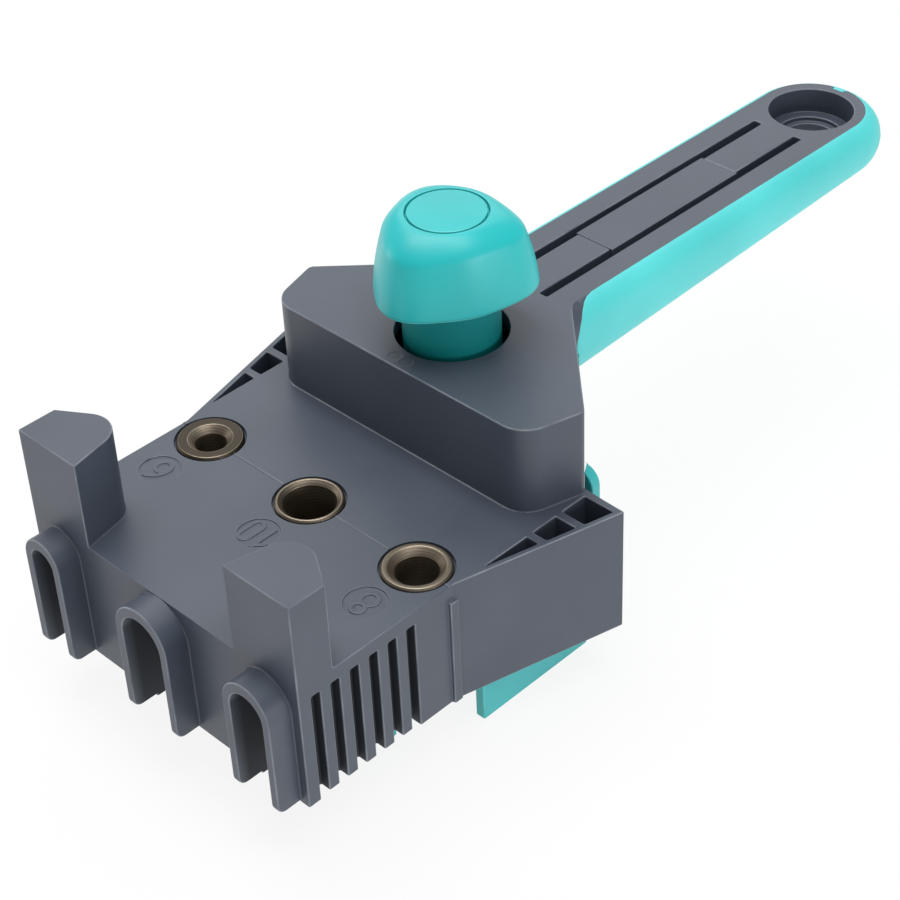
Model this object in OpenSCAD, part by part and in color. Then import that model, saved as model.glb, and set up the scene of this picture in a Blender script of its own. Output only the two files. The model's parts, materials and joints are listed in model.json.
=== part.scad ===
// Self-centring doweling jig: a drill block with three steel bushes, two jaws that a knob
// moves apart and together through a pinion and two racks, and a handle.
// The origin is the exit of the middle bush, on the face that sits on the board's edge.
// X runs along the line of bushes, Y towards the handle and Z up.

/* [Block] */
// Width of the drill block
block_w = 70.8; // [69:0.2:78]
// Bush line to the front face
block_front = 35.3; // [34.5:0.1:40]
// Bush line to the rear face
block_rear = 35.4; // [34.8:0.1:36.2]
// Height of the block
block_h = 27; // [26:0.5:34]
// Thickness of the top plate
plate_t = 3; // [2.4:0.1:3.4]
// Thickness of the front wall
front_wall = 2.8; // [2:0.1:3.4]
// Thickness of the side walls behind the comb
side_wall = 2.4; // [1.8:0.1:3]
// How far the side walls spread at the rear
flare_out = 9; // [7:0.5:12]
// Wall outside the pockets of the spread sides
flare_wall = 1.1; // [0.9:0.1:1.6]

/* [Comb] */
// Number of comb slots on each side
comb_slots = 6; // [4:1:6]
// Distance from one comb slot to the next
comb_pitch = 4.4; // [4.2:0.1:4.5]
// Width of a comb slot
comb_slot_w = 2; // [1.6:0.1:2.4]

/* [Dowel channels] */
// How much wider than its bush's bore a dowel channel is
channel_play = 0.2; // [0.1:0.1:0.6]
// Wall of the arch round a dowel channel
arch_wall = 1.75; // [1.4:0.05:2]
// How far the arches stand out of the front face
arch_out = 5.1; // [3:0.1:7]

/* [Bushes] */
// Distance between neighbouring bushes
bush_pitch = 27.5; // [27.2:0.1:28.2]
// Outer diameter of every bush
bush_od = 13; // [12.4:0.1:13.2]
// Bore of the left bush
bore_left = 6; // [4:0.5:7]
// Bore of the middle bush
bore_mid = 10; // [8:0.5:10]
// Bore of the right bush
bore_right = 8; // [6:0.5:9]
// How far the bushes stand out of the plate
bush_proud = 0.3; // [0.1:0.1:0.8]

/* [Posts and housing] */
// Height of posts, housing and handle top above the plate
rise = 18.25; // [17:0.25:22]
// Width of a front post at the front face
post_w = 16; // [14:0.5:17]
// Length of a front post's outer side
post_side = 8; // [7.4:0.2:9]
// Thickness of the housing walls
housing_wall = 2.6; // [2:0.1:2.8]
// Bush line to the housing's front face
housing_y = 22.1; // [21.7:0.1:22.4]

/* [Handle] */
// Width of the grip
grip_w = 29.8; // [28:0.2:33]
// Bush line to the middle of the handle's round end
handle_end = 147.2; // [142:1:160]
// Thickness of the sleeve at the core's sides
sleeve_t = 3.6; // [3.2:0.1:4.4]
// Depth of the core below the top face
core_t = 12; // [10:0.5:12.4]
// Width of the long slots
handle_slot_w = 2.1; // [1.6:0.1:2.4]
// Wall of the core round the hanging recess
hang_wall = 2.3; // [1.6:0.1:3.3]
// Diameter of the hanging hole
hang_bore = 11; // [8:0.5:12]

/* [Knob] */
// Mean radius of the three-lobed knob at its rim
knob_r = 14.9; // [13.5:0.1:16.5]
// Height of the knob's head
knob_h = 14.7; // [13:0.1:17]
// Diameter of the knob's stem
stem_d = 18.5; // [17.6:0.1:19.4]
// Gap between stem and housing hole, all round
stem_gap = 1.55; // [1:0.05:1.8]
// Free height of the stem above the housing
stem_h = 10.6; // [8:0.1:14]
// Diameter of the cap in the knob's top
cap_d = 14.6; // [13.6:0.1:15]

/* [Jaws] */
// Board thickness between the closed jaws, which is the rest pose
jaw_open = 12; // [11:0.5:13]
// How far the jaws reach below the block
jaw_drop = 10.4; // [8:0.2:14]
// Width of the clamping faces
jaw_w = 52; // [40:1:56]
// Thickness of the jaws' clamping walls
jaw_wall = 4; // [3:0.2:4.6]
// Thickness of the rear jaw's side plates
skirt_t = 2.2; // [1.6:0.1:2.4]
// Height of the rear jaw's ears above the top plate
ear_rise = 2.2; // [1:0.2:4]

/* [Drive] */
// Number of teeth on the pinion
pinion_teeth = 20; // [20:2:20]
// Module of pinion and racks
gear_module = 1; // [1:0.01:1.02]
// Height of the pinion and the racks
gear_h = 7; // [6:0.2:7.4]
// Bush line to the knob's axis
knob_y = 37.8; // [37.6:0.1:38]
// Play between the teeth of pinion and rack
backlash = 0.16; // [0.1:0.01:0.2]
// Play beside and below everything that slides
slide_gap = 0.3; // [0.2:0.05:0.35]

/* [Hidden] */
$fn = 72;

// Overrun of every cut
over = 1;
half_w = block_w / 2;
top_z = block_h + rise;
plate_z = block_h - plate_t;
core_w = grip_w - 2 * sleeve_t;
hang_d = core_w - 2 * hang_wall;
body_grey = "#5f666f";
teal = "#4cc9c4";

// Comb: the ribs lie behind the front wall
rib_t = comb_pitch - comb_slot_w;
comb_start = -block_front + front_wall;
comb_end = comb_start + comb_slots * comb_pitch - rib_t;
comb_wall = [half_w - 3.4, half_w - 2.2];

// Feet of the arches and comb ribs end a little above the board
foot_gap = 0.6;
arch_crown = 2.4;
arch_sink = 0.15;
channels = [[-bush_pitch, bore_left], [0, bore_mid], [bush_pitch, bore_right]];

// Cross wall on the bush line, with a bead where it meets the side
cross_t = 2;
cross_y = -0.5;
bead_out = 0.7;
bead_drop = 3.4;
mark_w = 0.35;
mark_rise = 0.12;

// Bosses that hold the bushes
boss_r = bush_pitch / 2 - lane_gap();
function lane_gap() = 5.15;
seat_gap = 0.4;
seat_depth = 0.9;
leadin_share = 0.55;

// Lanes for the racks, each a hollow bar with a narrower slot below
pitch_r = pinion_teeth * gear_module / 2;
rack_root = pitch_r + 1.25 * gear_module;
rack_t = 5.95;
rack_back = rack_root + rack_t;
lane_in = boss_r;
lane_out = bush_pitch - boss_r;
carrier_gap = 1;
carrier_t = 3;
rack_z = plate_z - carrier_t - carrier_gap - gear_h;
rack_top = rack_z + gear_h;
lane_end = 20;
lane_front = -block_front + front_wall + 2 * comb_pitch - rib_t;
ledge = 1.2;
stem_in = rack_root + ledge + slide_gap;
stem_out = rack_back - ledge;

// Jaws: decks under the block, and clamping faces that stand out of the side plates
deck_gap = 0.4;
pad_out = 1.5;
deck_t = 2.4;
deck_top = -deck_gap;
deck_bottom = deck_top - deck_t;
jaw_face = jaw_open / 2;

// Gear carrier, cover and their screws
carrier_z = rack_top + carrier_gap;
shaft_d = 12;
shaft_gap = 0.05;
collar_top = block_h + carrier_gap;
collar_wall = 2.5;
stem_z = collar_top + washer_t();
function washer_t() = 1.2;
cover_t = 3;
cover_z = rack_z - carrier_gap - cover_t;
pillar_r = 2.7;
pillar_y = pitch_r + gear_module + slide_gap + pillar_r;
boss_extra = 0.5;
boss_wall = 2;
screw_x = 6;
screw_y = knob_y + pillar_y + boss_extra;
tongue_w = 10;
screw_d = 3;
screw_head_d = 5.4;
screw_head_h = 1.9;
journal_d = 7;

// Rack screws come up through the jaws
rack_screw_d = 2.2;
rack_screw_head = 3.2;
rack_screw_depth = 4;

function arc(c, r, a0, a1, n) =
    [for (i = [0:n]) c + r * [cos(a0 + (a1 - a0) * i / n), sin(a0 + (a1 - a0) * i / n)]];
function flip(points) = [for (i = [len(points) - 1:-1:0]) [-points[i][0], points[i][1]]];

// A block from its lowest corner to its highest
module span(a, b) {
    translate(a) cube(b - a);
}

module both_sides() {
    children();
    mirror([1, 0, 0]) children();
}

// Housing outline: rounded front corners, spread sides and a waist to the handle
corner_r = 6;
corner_x = half_w - 7.9;
side_angle = 16;
rear_corner = [half_w, block_rear - 1.2];
rear_round = 1.5;
neck_w = 26;
neck_fillet = 5;
neck_sunk = 3.8;
neck_y = rear_corner[0] + rear_corner[1] - neck_w / 2 + 1.5;

function housing_half(inset) =
    let (r = corner_r - inset,
         c = [corner_x, housing_y + corner_r],
         k = rear_corner - [rear_round, 0],
         q = rear_round - inset * 0.4,
         f = [core_w / 2 + neck_fillet,
              rear_corner[0] + rear_corner[1] - core_w / 2 + neck_fillet * (sqrt(2) - 1)])
    concat(arc(c, r, -90, -side_angle, 8),
           arc(k - [inset, inset * 0.4], q, -side_angle, 45, 6),
           inset > 0 ? [] : arc(f, neck_fillet, 225, 180, 6));

module housing_outline(inset) {
    half = housing_half(inset);
    neck = inset > 0 ? [[neck_w / 2 - inset, neck_y - inset]] : [];
    polygon(concat(half, neck, flip(neck), flip(half)));
}

// Handle section: full width at its middle, flat on top, rounded below
grip_mid = block_h + 11;
grip_up = 8.8;
grip_down = 9.6;
grip_taper = 2.1;
section_power = 3;
function bulge(z, reach) =
    grip_w / 2 * pow(max(1 - pow(abs(z) / reach, section_power), 0), 1 / section_power);
function upper_half(n) =
    concat([[0, -grip_w / 2], [grip_w / 2, -grip_w / 2]],
           [for (i = [0:n]) let (z = (top_z - grip_mid) * i / n) [bulge(z, grip_up), z]],
           [[0, top_z - grip_mid]]);
function lower_half(n) =
    concat([[0, grip_w / 2], [grip_w / 2, grip_w / 2]],
           [for (i = [0:n]) let (a = 90 * i / n) [bulge(grip_down * sin(a), grip_down),
                                                   -grip_down * sin(a)]]);

module handle_bar(half, tilt, length) {
    translate([0, handle_end - length, grip_mid]) rotate([tilt, 0, 0]) {
        rotate([-90, 0, 0]) linear_extrude(length / cos(tilt))
            polygon(concat([for (p = half) [p[0], -p[1]]],
                           [for (i = [len(half) - 1:-1:0]) [-half[i][0], -half[i][1]]]));
        translate([0, length / cos(tilt), 0]) rotate_extrude() polygon(half);
    }
}

module handle_form() {
    reach = handle_end - neck_y + neck_fillet;
    intersection() {
        handle_bar(upper_half(10), 0, reach);
        handle_bar(lower_half(14), grip_taper, reach);
    }
}

// Core under the grip, with the same flat top
module core_form() {
    start = neck_y - housing_wall;
    span([-core_w / 2, start, top_z - core_t], [core_w / 2, handle_end, top_z]);
    translate([0, handle_end, top_z - core_t]) cylinder(d = core_w, h = core_t);
}

// Side view of where the grip sleeve lies: its near end leans back below a round top corner
grip_start = neck_y - 2.3;
grip_corner = 8;
grip_lean = 3.4;
module grip_zone() {
    far = handle_end + grip_w;
    rotate([90, 0, 90]) linear_extrude(grip_w + 2 * over, center = true)
        polygon(concat([[far, block_h - over], [grip_start + grip_lean, block_h - over]],
                       arc([grip_start + grip_corner, top_z - grip_corner], grip_corner,
                           180, 90, 8),
                       [[far, top_z]]));
}

// Front post with a rounded nose towards the bushes
module post() {
    nose_r = 5.5;
    nose = [half_w - post_w + 7.1, -block_front + 7.1];
    translate([0, 0, plate_z]) linear_extrude(plate_t + rise)
        polygon(concat([[half_w - post_w, -block_front], [half_w, -block_front],
                        [half_w, -block_front + post_side]],
                       arc(nose, nose_r, 53, 167, 14)));
}

// Spread side with three pockets
flare_start = 0.9;
pocket_in = half_w + 0.75;
pocket_rows = [[6, 18.65], [20.35, 26.25], [28.05, 34]];
function flare_x(y) = half_w + flare_out * (y - flare_start) / (block_rear - flare_start);
module flare() {
    difference() {
        linear_extrude(block_h)
            polygon([[half_w - side_wall, flare_start], [half_w, flare_start],
                     [flare_x(block_rear), block_rear], [half_w - side_wall, block_rear]]);
        translate([0, 0, plate_t]) linear_extrude(block_h) intersection() {
            polygon([[pocket_in, (pocket_in + flare_wall - half_w)
                      * (block_rear - flare_start) / flare_out + flare_start],
                     [flare_x(block_rear) - flare_wall, block_rear],
                     [pocket_in, block_rear]]);
            for (row = pocket_rows)
                translate([half_w, row[0]]) square([flare_out, row[1] - row[0]]);
        }
    }
}

// Arch with straight legs, from its foot to its top
module arch_2d(w, bottom, top) {
    centre = top - w / 2;
    translate([-w / 2, bottom]) square([w, centre - bottom]);
    translate([0, centre]) circle(d = w);
}

module along_y(from, to) {
    translate([0, to, 0]) rotate([90, 0, 0]) linear_extrude(to - from) children();
}

toe_r = 1.8;
module arches() {
    tip = -block_front - arch_out;
    end = -block_front + front_wall;
    intersection() {
        for (c = channels) translate([c[0], 0, 0]) along_y(tip, end)
            arch_2d(c[1] + channel_play + 2 * arch_wall, foot_gap, block_h - arch_sink);
        rotate([90, 0, 90]) linear_extrude(block_w, center = true)
            polygon(concat(arc([tip + toe_r, foot_gap + toe_r], toe_r, 180, 270, 6),
                           [[end, foot_gap], [end, block_h], [tip, block_h]]));
    }
}

module channel_cuts() {
    for (c = channels) translate([c[0], 0, 0])
        along_y(-block_front - arch_out - over, comb_end - comb_slot_w)
            arch_2d(c[1] + channel_play, -over, block_h - arch_crown);
}

// Raised numerals, read from the handle side
digit_h = 6.4;
digit_w = 3.9;
zero_w = 3.1;
stroke = 0.72;
tail_r = 4.5;
module ring(d) {
    difference() {
        circle(d = d, $fn = 32);
        circle(d = d - 2 * stroke, $fn = 32);
    }
}
module zero(r) {
    straight = digit_h - zero_w;
    translate([-r, zero_w / 2]) square([2 * r, straight]);
    for (y = [0, straight]) translate([0, zero_w / 2 + y]) circle(r, $fn = 32);
}
module numeral(n) {
    r = digit_w / 2;
    if (n == 0) difference() {
        zero(zero_w / 2);
        zero(zero_w / 2 - stroke);
    }
    if (n == 1) {
        translate([-stroke / 2, 0]) square([stroke, digit_h]);
        polygon([[stroke / 2, digit_h], [-r, digit_h - r], [-r, digit_h - r - stroke],
                 [stroke / 2, digit_h - stroke * 1.4]]);
    }
    if (n == 8) {
        translate([0, r]) ring(digit_w);
        translate([0, digit_h - (digit_h - digit_w + stroke) / 2])
            ring(digit_h - digit_w + stroke);
    }
    if (n == 6) {
        translate([0, r]) ring(digit_w);
        polygon(concat(arc([tail_r - r, r], tail_r, 180, 106, 10),
                       arc([tail_r - r, r], tail_r - stroke, 106, 180, 10)));
    }
}

label_d = 8;
label_y = -12.3;
label_shift = 0.3;
label_depth = 0.25;
digit_step = 3.3;
module label(digits) {
    last = len(digits) - 1;
    rotate([0, 0, 180]) linear_extrude(label_depth)
        for (i = [0:last])
            translate([(i - last / 2) * digit_step, label_shift - digit_h / 2])
                numeral(digits[i]);
}

module lane_cut() {
    top = rack_top + slide_gap / 2;
    span([rack_root - slide_gap / 2, lane_front, rack_z - slide_gap / 2],
         [rack_back + slide_gap, lane_end + over, top]);
    span([stem_in - slide_gap, lane_front, -over],
         [stem_out + slide_gap, lane_end + over, top]);
}

module block_shell() {
    span([-half_w, -block_front, 0], [half_w, -block_front + front_wall, block_h]);
    span([-half_w, -block_front, plate_z], [half_w, block_rear, block_h]);
    for (i = [1:comb_slots - 1]) {
        y = comb_start + i * comb_pitch - rib_t;
        span([-half_w, y, foot_gap], [half_w, y + rib_t, plate_z]);
    }
    span([-half_w, comb_end, 0], [half_w, comb_end + rib_t, plate_z]);
    both_sides() {
        span([half_w - side_wall, comb_end, 0], [half_w, block_rear, plate_z]);
        span([lane_in, lane_front - rib_t, 0], [lane_out, lane_end, plate_z]);
        flare();
        post();
        span([comb_wall[0], comb_start - over, foot_gap], [comb_wall[1], comb_end + over, plate_z]);
        span([half_w - side_wall, cross_y, 0],
             [half_w + bead_out, cross_y + cross_t, block_h - bead_drop]);
    }
    span([-half_w, cross_y, 0], [half_w, cross_y + cross_t, plate_z]);
    span([-half_w, lane_end - 2 * rib_t, 0], [half_w, lane_end - rib_t, plate_z]);
    span([-half_w, block_rear - rib_t, 0], [half_w, block_rear, plate_z]);
    intersection() {
        for (x = [-bush_pitch, 0, bush_pitch]) translate([x, 0, 0])
            cylinder(r = boss_r, h = plate_z);
        span([-half_w, -boss_r, 0], [half_w, boss_r, plate_z]);
    }
    arches();
}

module housing_shell() {
    difference() {
        linear_extrude(top_z) housing_outline(0);
        intersection() {
            handle_form();
            grip_zone();
        }
        translate([0, 0, -over]) linear_extrude(top_z - plate_t + over)
            housing_outline(housing_wall);
        span([-half_w, housing_y - over, -over],
             [half_w, housing_y + housing_wall, plate_z]);
    }
}

module jig_body() {
    color(body_grey) difference() {
        union() {
            difference() {
                union() {
                    block_shell();
                    housing_shell();
                    span([-half_w, -mark_w / 2, plate_z],
                         [half_w, mark_w / 2, block_h + mark_rise]);
                }
                translate([0, 0, -over]) linear_extrude(top_z - plate_t + over)
                    intersection() {
                        housing_outline(housing_wall);
                        translate([-half_w, housing_y + housing_wall])
                            square([block_w, block_w]);
                    }
            }
            at_screws(plate_z) cylinder(r = screw_d / 2 + boss_wall, h = top_z - plate_z - over);
            difference() {
                handle_form();
                grip_zone();
                span([-grip_w, 0, 0], [grip_w, neck_y - neck_sunk, top_z + over]);
                linear_extrude(top_z - plate_t) housing_outline(housing_wall);
            }
            core_form();
            for (side = [-1, 1], y = clip_rows) handle_clip(side, y);
        }
        handle_cuts();
        channel_cuts();
        both_sides() lane_cut();
        for (x = [-bush_pitch, 0, bush_pitch]) translate([x, 0, 0]) {
            translate([0, 0, -over]) cylinder(d = bush_od, h = block_h + 2 * over);
            translate([0, 0, block_h - seat_depth])
                cylinder(d = bush_od + 2 * seat_gap, h = seat_depth + over);
            translate([0, label_y, block_h - label_depth])
                cylinder(d = label_d, h = label_depth + over);
        }
        translate([0, knob_y, top_z - plate_t - over])
            cylinder(d = stem_d + 2 * stem_gap, h = plate_t + 2 * over);
        at_screws(plate_z - over) cylinder(d = screw_d, h = rise / 2 + over);
        span([-tongue_w / 2 - slide_gap, lane_end - 2 * rib_t - over, cover_z - slide_gap / 2],
             [tongue_w / 2 + slide_gap, lane_end, cover_z + cover_t + slide_gap / 2]);
    }
    color(body_grey) {
        translate([-bush_pitch, label_y, block_h - label_depth]) label([6]);
        translate([0, label_y, block_h - label_depth]) label([1, 0]);
        translate([bush_pitch, label_y, block_h - label_depth]) label([8]);
    }
}

// Long slots, panel bed and hanging hole in the handle's top
slot_x = 4.15;
slot_start = neck_y - 1;
slot_end = handle_end - 11.7;
slot_depth = 9;
panel_near = 20.3;
panel_far = 19.4;
panel_start = slot_start + panel_near;
panel_end = slot_end - panel_far;
panel_t = 2;
panel_play = 0.06;
panel_lip = 0.5;
clip_rows = [panel_start - 1.4, panel_end - 1.6];
clip_l = 2.2;
clip_out = 0.7;
hang_y = handle_end - 0.2;
hang_depth = 5.5;
hang_step = hang_d - hang_wall * 2;
hang_step_depth = 1;

module handle_cuts() {
    both_sides()
        span([slot_x, slot_start, top_z - slot_depth],
             [slot_x + handle_slot_w, slot_end, top_z + over]);
    span([-slot_x - over / 2, panel_start, top_z - panel_t],
         [slot_x + over / 2, panel_end, top_z + over]);
    translate([0, hang_y, top_z - hang_depth]) cylinder(d = hang_d, h = hang_depth + over);
    translate([0, hang_y, top_z - hang_depth - hang_step_depth])
        cylinder(d = hang_step, h = hang_depth);
    translate([0, hang_y, 0]) cylinder(d = hang_bore, h = top_z);
    span([tab_x[0], tab_start, top_z - tab_depth],
         [tab_x[1], handle_end + core_w / 2 + over, top_z + over]);
}

module handle_clip(side, y) {
    x = slot_x + handle_slot_w;
    if (side > 0) span([x - clip_out, y, top_z - panel_t], [x, y + clip_l, top_z - mark_rise]);
    else span([-x, y, top_z - panel_t], [-x + clip_out, y + clip_l, top_z - mark_rise]);
}

// Steel bush with a lead-in at the top
module bush(bore) {
    length = block_h + bush_proud;
    rim = (bush_od - bore) / 2;
    lead = min(leadin_share * rim, 1.3);
    edge = 0.4;
    color("#b0986f") rotate_extrude() polygon([
        [bore / 2, 0], [bush_od / 2, 0], [bush_od / 2, length - edge],
        [bush_od / 2 - edge, length], [bore / 2 + lead, length], [bore / 2, length - lead]]);
}
module bush_6mm() { translate([-bush_pitch, 0, 0]) bush(bore_left); }
module bush_10mm() { bush(bore_mid); }
module bush_8mm() { translate([bush_pitch, 0, 0]) bush(bore_right); }

// Soft sleeve round the core, with a small tab that keys into the core's far end
tab_x = [-2.4, 0.7];
tab_start = handle_end + core_w / 2 - 1;
tab_depth = 1.5;
module grip_sleeve() {
    color(teal) difference() {
        intersection() {
            handle_form();
            grip_zone();
        }
        difference() {
            core_form();
            span([tab_x[0], tab_start, top_z - tab_depth],
                 [tab_x[1], handle_end + core_w / 2 + over, top_z + over]);
        }
        translate([0, hang_y, 0]) cylinder(d = hang_bore, h = top_z);
    }
}

module handle_panel() {
    color(body_grey)
        span([-slot_x - panel_lip, panel_start + panel_play, top_z - panel_t],
             [slot_x + panel_lip, panel_end - panel_play, top_z]);
}

// Carrier that holds the pinion's shaft and the racks' outer sides
module carrier_plan() {
    edge = lane_out;
    limit = rear_corner[0] + rear_corner[1] - housing_wall * sqrt(2) - slide_gap * 2;
    back = screw_y + pillar_r;
    polygon([[-edge, lane_end + slide_gap], [edge, lane_end + slide_gap],
             [edge, limit - edge], [limit - back, back], [back - limit, back],
             [-edge, limit - edge]]);
}
module at_screws(z) {
    for (x = [-screw_x, screw_x]) translate([x, screw_y, z]) children();
}
module gear_carrier() {
    limit = rear_corner[0] + rear_corner[1] - housing_wall * sqrt(2) - slide_gap * 2;
    pillar_h = carrier_z - cover_z - cover_t + carrier_t;
    bore_d = shaft_d + 2 * shaft_gap;
    color("#8a8f96") difference() {
        union() {
            translate([0, 0, carrier_z]) linear_extrude(carrier_t) carrier_plan();
            translate([0, knob_y, carrier_z])
                cylinder(d = shaft_d + 2 * collar_wall, h = collar_top - carrier_z);
            translate([0, knob_y - pillar_y, cover_z + cover_t])
                cylinder(r = pillar_r, h = pillar_h);
            at_screws(cover_z + cover_t) cylinder(r = pillar_r, h = pillar_h);
            both_sides() {
                span([rack_back + slide_gap, lane_end + slide_gap, cover_z + cover_t],
                     [lane_out, limit - lane_out, carrier_z]);
                span([stem_out + slide_gap, lane_end + slide_gap, cover_z + cover_t],
                     [lane_out, limit - lane_out, rack_z - slide_gap / 2]);
            }
        }
        translate([0, knob_y, 0]) cylinder(d = bore_d, h = top_z);
        at_screws(0) cylinder(d = screw_d, h = top_z);
    }
}

// Cover with a tongue in front that hooks into a rib of the block
module mechanism_cover() {
    edge = stem_in - slide_gap - slide_gap;
    front = knob_y - pillar_y - pillar_r;
    back = screw_y + pillar_r;
    flat = screw_x + pillar_r / 2;
    color("#4d535b") difference() {
        union() {
            translate([0, 0, cover_z]) linear_extrude(cover_t)
                polygon([[-edge, front], [edge, front], [edge, back - edge + flat],
                         [flat, back], [-flat, back], [-edge, back - edge + flat]]);
            span([-tongue_w / 2, lane_end - 2 * rib_t, cover_z],
                 [tongue_w / 2, front, cover_z + cover_t]);
        }
        translate([0, knob_y, 0]) cylinder(d = journal_d + 2 * shaft_gap, h = rack_z);
        at_screws(0) cylinder(d = screw_d, h = rack_z);
    }
}

// Screw that points up: head below z = 0, shank above, with a cross recess
module screw(d, length, head_d, head_h) {
    slot = d / 4;
    difference() {
        union() {
            cylinder(d = d, h = length);
            translate([0, 0, -head_h]) cylinder(d = head_d, h = head_h);
        }
        for (a = [0, 90]) rotate([0, 0, a])
            translate([-head_d / 3, -slot / 2, -head_h - over])
                cube([head_d * 2 / 3, slot, over + head_h / 2]);
    }
}

module cover_screws() {
    color("silver") at_screws(cover_z)
        screw(screw_d, plate_z - cover_z + rise / 2, screw_head_d, screw_head_h);
}

// Knob: three soft lobes at the rim that fade into a round top
knob_z = top_z + stem_h;
knob_top = knob_z + knob_h;
lobe_share = 0.082;
lobe_fine_share = 0.02;
lobe_angle = 35;
knob_groove = 0.45;
knob_shell = 2.2;
knob_hollow = 5;
cap_t = 2;
knob_side_share = 0.74;
knob_draft_share = 0.14;
knob_bore = 9.6;
function lobe(a) = 1 + lobe_share * cos(3 * (a - lobe_angle))
                     + lobe_fine_share * cos(6 * (a - lobe_angle));
function knob_scale(s) =
    1 - knob_draft_share * pow(min(max(s, 0) / knob_side_share, 1), 1.6);
function knob_mix(s) = s <= knob_side_share ? 0
    : 1 - pow(1 - pow((s - knob_side_share) / (1 - knob_side_share), 1.35), 1 / 1.35);
top_r = cap_d / 2 + knob_groove + 0.4;
function knob_radius(a, s) =
    knob_r * lobe(a) * knob_scale(s) * (1 - knob_mix(s)) + top_r * knob_mix(s);
module lobed_loft(levels, sides, inset) {
    points = [for (s = levels) for (i = [0:sides - 1])
              let (a = 360 * i / sides, r = knob_radius(a, s) - inset)
              [r * cos(a), r * sin(a), knob_h * s]];
    count = len(levels);
    walls = [for (j = [0:count - 2]) for (i = [0:sides - 1]) for (half = [0, 1])
             let (a = j * sides + i, b = j * sides + (i + 1) % sides)
             half == 0 ? [a, a + sides, b] : [b, a + sides, b + sides]];
    ends = [[for (i = [0:sides - 1]) i],
            [for (i = [sides - 1:-1:0]) (count - 1) * sides + i]];
    polyhedron(points, concat(walls, ends), convexity = 4);
}

module clamp_knob() {
    sides = 60;
    levels = [0, 0.04, 0.15, 0.3, 0.45, 0.6, 0.74, 0.8, 0.86, 0.91, 0.95, 0.98, 1];
    color(teal) translate([0, knob_y, 0]) difference() {
        union() {
            translate([0, 0, knob_z]) difference() {
                lobed_loft(levels, sides, 0);
                intersection() {
                    lobed_loft([-0.1, 0.5], sides, knob_shell);
                    translate([0, 0, -over]) cylinder(r = 2 * knob_r, h = knob_hollow + over);
                }
            }
            translate([0, 0, stem_z]) cylinder(d = stem_d, h = knob_z - stem_z + knob_hollow);
        }
        translate([0, 0, knob_top - cap_t])
            cylinder(d = cap_d + 2 * knob_groove, h = cap_t + over);
        translate([0, 0, knob_top - cap_t - head_room])
            cylinder(d = cap_d - 2 * collar_wall, h = head_room + over);
        translate([0, 0, stem_z - over]) cylinder(d = knob_bore, h = shaft_l - stem_z + over);
        translate([0, 0, stem_z])
            cylinder(d = knob_screw_d + 2 * shaft_gap, h = knob_h + knob_z - stem_z);
    }
}

// Cap, screw and pinion on the knob's axis
head_room = 4;
knob_screw_d = 4;
knob_screw_head = 7.4;
knob_screw_head_h = 2.6;
shaft_l = knob_top - cap_t - head_room - 3;

module knob_cap() {
    flange_r = cap_d / 2 + knob_groove - shaft_gap;
    color(teal) translate([0, knob_y, knob_top - cap_t]) rotate_extrude() polygon([
        [0, 0], [flange_r, 0], [flange_r, cap_t / 2],
        [cap_d / 2, cap_t / 2], [cap_d / 2, cap_t], [0, cap_t]]);
}

module knob_screw() {
    head_z = knob_top - cap_t - head_room;
    color("silver") translate([0, knob_y, head_z]) mirror([0, 0, 1])
        screw(knob_screw_d, head_z - collar_top - over, knob_screw_head, knob_screw_head_h);
}

// Involute pinion, drawn so that a gap between two teeth faces each rack
base_r = pitch_r * cos(20);
tip_r = pitch_r + gear_module;
root_r = pitch_r - 1.25 * gear_module;
function inv_angle(r) =
    r <= base_r ? 0 : tan(acos(base_r / r)) * 180 / PI - acos(base_r / r);
tooth_angle = 90 / pinion_teeth - backlash / 2 / pitch_r * 180 / PI + inv_angle(pitch_r);
function flank(side, n) = [for (i = [0:n]) let (r = base_r + (tip_r - base_r) * i / n)
    [r, side * (tooth_angle - inv_angle(r))]];
function tooth(centre) =
    let (up = concat([[root_r, -tooth_angle]], flank(-1, 5)),
         down = concat([for (i = [5:-1:0]) flank(1, 5)[i]], [[root_r, tooth_angle]]))
    [for (p = concat(up, down)) p[0] * [cos(centre + p[1]), sin(centre + p[1])]];

module drive_pinion() {
    color("#d8d8d2") translate([0, knob_y, 0]) difference() {
        union() {
            translate([0, 0, rack_z]) linear_extrude(gear_h)
                polygon([for (i = [0:pinion_teeth - 1])
                         for (p = tooth((i + 0.5) * 360 / pinion_teeth)) p]);
            translate([0, 0, cover_z]) cylinder(d = journal_d, h = rack_z - cover_z);
            translate([0, 0, rack_top]) cylinder(d = shaft_d, h = stem_z - rack_top);
            translate([0, 0, stem_z])
                cylinder(d = knob_bore - 2 * shaft_gap, h = shaft_l - stem_z);
        }
        translate([0, 0, collar_top + over])
            cylinder(d = knob_screw_d, h = top_z);
    }
}

module washer(z, od, t) {
    color("silver") translate([0, knob_y, z]) difference() {
        cylinder(d = od, h = t);
        translate([0, 0, -over])
            cylinder(d = shaft_d + 2 * slide_gap, h = t + 2 * over);
    }
}
module thrust_washer() { washer(rack_top, shaft_d + 2 * collar_wall, carrier_gap); }
module friction_washer() { washer(collar_top, shaft_d + 2 * collar_wall, washer_t()); }

// Toothed bar with teeth on the side that faces the pinion and a bevelled rear end
rack_pitch = PI * gear_module;
function rack_tooth(k) =
    let (half = rack_pitch / 4 - backlash / 4, y = k * rack_pitch,
         root = half + 1.25 * gear_module * tan(20), tip = half - gear_module * tan(20))
    [[rack_root, y - root], [pitch_r - gear_module, y - tip],
     [pitch_r - gear_module, y + tip], [rack_root, y + root]];

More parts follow.
